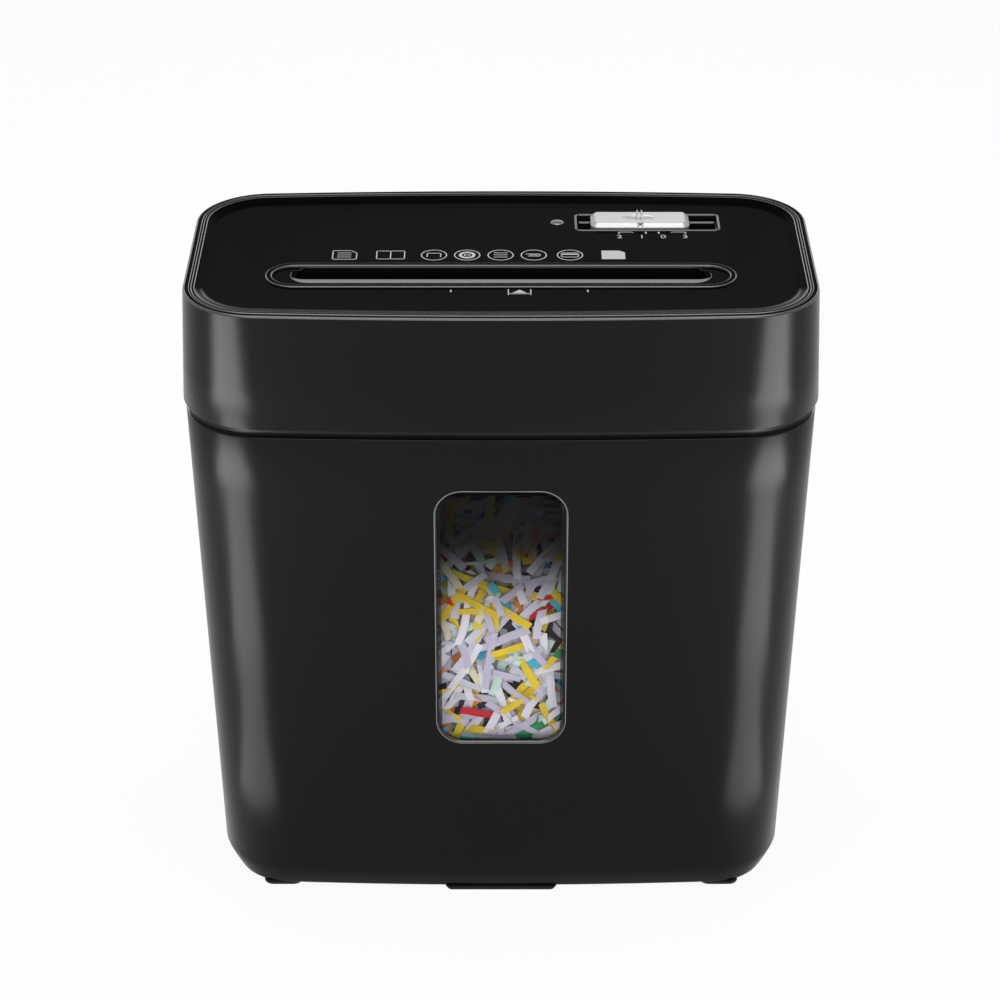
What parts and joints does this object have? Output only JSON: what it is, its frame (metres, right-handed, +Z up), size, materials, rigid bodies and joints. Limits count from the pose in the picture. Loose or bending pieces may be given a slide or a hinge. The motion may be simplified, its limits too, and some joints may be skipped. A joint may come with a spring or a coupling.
{
  "type": "paper shredder",
  "caption": "Tapered black paper shredder: a lift-off cutting head with a feed slot and mode slider on a windowed shred bin.",
  "frame": {"origin": "middle of the footprint, on the floor under the feet", "axes": "+Z up, the windowed front faces -Y, +X to the viewer's right"},
  "size_m": [0.318, 0.1664, 0.3412],
  "materials": {
    "black_shell": "satin black ABS with a fine moulded grain",
    "gloss_black": "polished black ABS",
    "clear_pane": "clear moulded acrylic",
    "knob_silver": "silver-painted plastic, satin",
    "black_plastic": "plain black moulding",
    "rubber": "matt black rubber",
    "paper": "cross-cut shreds of coloured and white paper",
    "plate_steel": "zinc-plated sheet steel",
    "cutter_steel": "hardened steel, lightly oiled",
    "screw_steel": "zinc-plated screws",
    "gear_nylon": "off-white nylon",
    "gear_steel": "sintered steel",
    "bush_bronze": "sintered bronze",
    "motor_steel": "zinc-plated drawn can",
    "magnet": "ferrite",
    "armature": "laminated steel core with copper windings",
    "board": "green solder mask on glass-epoxy board",
    "relay_case": "blue relay case",
    "capacitor": "yellow film capacitor",
    "can_capacitor": "sleeved electrolytic capacitor",
    "terminal_green": "green terminal block",
    "white_plastic": "white nylon",
    "lens": "frosted clear lens",
    "lamp": "two-colour indicator lamp"
  },
  "bodies": {
    "bin": {"bin_shell": "black_shell", "window_pane": "clear_pane", "corner_feet": "rubber", "front_foot": "rubber", "paper_shreds": "paper"},
    "head": {"head_shell": "black_shell", "head_base": "black_shell", "top_panel": "gloss_black", "slot_bezel": "gloss_black", "paper_guide": "black_plastic", "switch_tray": "black_plastic", "mode_switch": "black_plastic", "indicator_lens": "lens", "indicator_lamp": "lamp", "cord_gland": "rubber", "case_screws": "screw_steel", "left_side_plate": "plate_steel", "right_side_plate": "plate_steel", "tie_rods": "cutter_steel", "tie_rod_bolts": "screw_steel", "shaft_bushings": "bush_bronze", "frame_screws": "screw_steel", "front_comb": "black_plastic", "rear_comb": "black_plastic", "gear_pins": "cutter_steel", "gearbox_cover": "plate_steel", "motor_can": "motor_steel", "motor_magnets": "magnet", "motor_end_cap": "black_plastic", "motor_screws": "screw_steel", "thermal_cutout": "black_plastic", "board_posts": "white_plastic", "control_board": "board", "board_screws": "screw_steel", "relay": "relay_case", "filter_capacitor": "capacitor", "terminal_block": "terminal_green", "smoothing_capacitor": "can_capacitor", "interlock_switch": "black_plastic", "sensor_bracket": "white_plastic"},
    "mode_slider": {"mode_knob": "knob_silver"},
    "rear_cutter": {"rear_cutter_shaft": "cutter_steel", "rear_cutter_discs": "cutter_steel", "rear_spacers": "white_plastic", "drive_gear": "gear_steel", "rear_sync_gear": "gear_steel"},
    "front_cutter": {"front_cutter_shaft": "cutter_steel", "front_cutter_discs": "cutter_steel", "front_spacers": "white_plastic", "front_sync_gear": "gear_steel"},
    "first_gear": {"first_reduction_gear": "gear_nylon"},
    "second_gear": {"second_reduction_gear": "gear_nylon"},
    "motor_rotor": {"motor_armature": "armature", "motor_pinion": "bush_bronze"},
    "sensor": {"sensor_lever": "white_plastic"},
    "interlock": {"interlock_plunger": "white_plastic"}
  },
  "joints": [
    {"name": "head_lift", "type": "slide", "parent": "bin", "child": "head", "axis": [0, 0, 1], "range_m": [0, 0.08]},
    {"name": "mode_slide", "type": "slide", "parent": "head", "child": "mode_slider", "axis": [1, 0, 0], "range_m": [-0.0066, 0.0132]},
    {"name": "motor_spin", "type": "hinge", "parent": "head", "child": "motor_rotor", "pos_m": [-0.08, 0.046, 0.302], "axis": [1, 0, 0], "continuous": true},
    {"name": "first_gear_spin", "type": "hinge", "parent": "head", "child": "first_gear", "pos_m": [-0.12, 0.01967, 0.30388], "axis": [1, 0, 0], "continuous": true},
    {"name": "second_gear_spin", "type": "hinge", "parent": "head", "child": "second_gear", "pos_m": [-0.13, 0.03836, 0.27729], "axis": [1, 0, 0], "continuous": true},
    {"name": "rear_cutter_spin", "type": "hinge", "parent": "head", "child": "rear_cutter", "pos_m": [0, -0.003, 0.27], "axis": [1, 0, 0], "continuous": true},
    {"name": "front_cutter_spin", "type": "hinge", "parent": "head", "child": "front_cutter", "pos_m": [0, -0.037, 0.27], "axis": [1, 0, 0], "continuous": true},
    {"name": "sensor_tilt", "type": "hinge", "parent": "head", "child": "sensor", "pos_m": [0, -0.006, 0.306], "axis": [1, 0, 0], "range_deg": [0, 25], "stiffness_Nm_per_rad": 0.002, "springref_deg": -28.65},
    {"name": "interlock_press", "type": "slide", "parent": "head", "child": "interlock", "axis": [0, 0, 1], "range_m": [0, 0.002], "stiffness_N_per_m": 150, "springref_m": -0.002}
  ],
  "couplings": [
    {"joint": "first_gear_spin", "follows": "motor_spin", "ratio": -0.22222},
    {"joint": "second_gear_spin", "follows": "motor_spin", "ratio": 0.066667},
    {"joint": "rear_cutter_spin", "follows": "motor_spin", "ratio": -0.022222},
    {"joint": "front_cutter_spin", "follows": "motor_spin", "ratio": 0.022222}
  ]
}
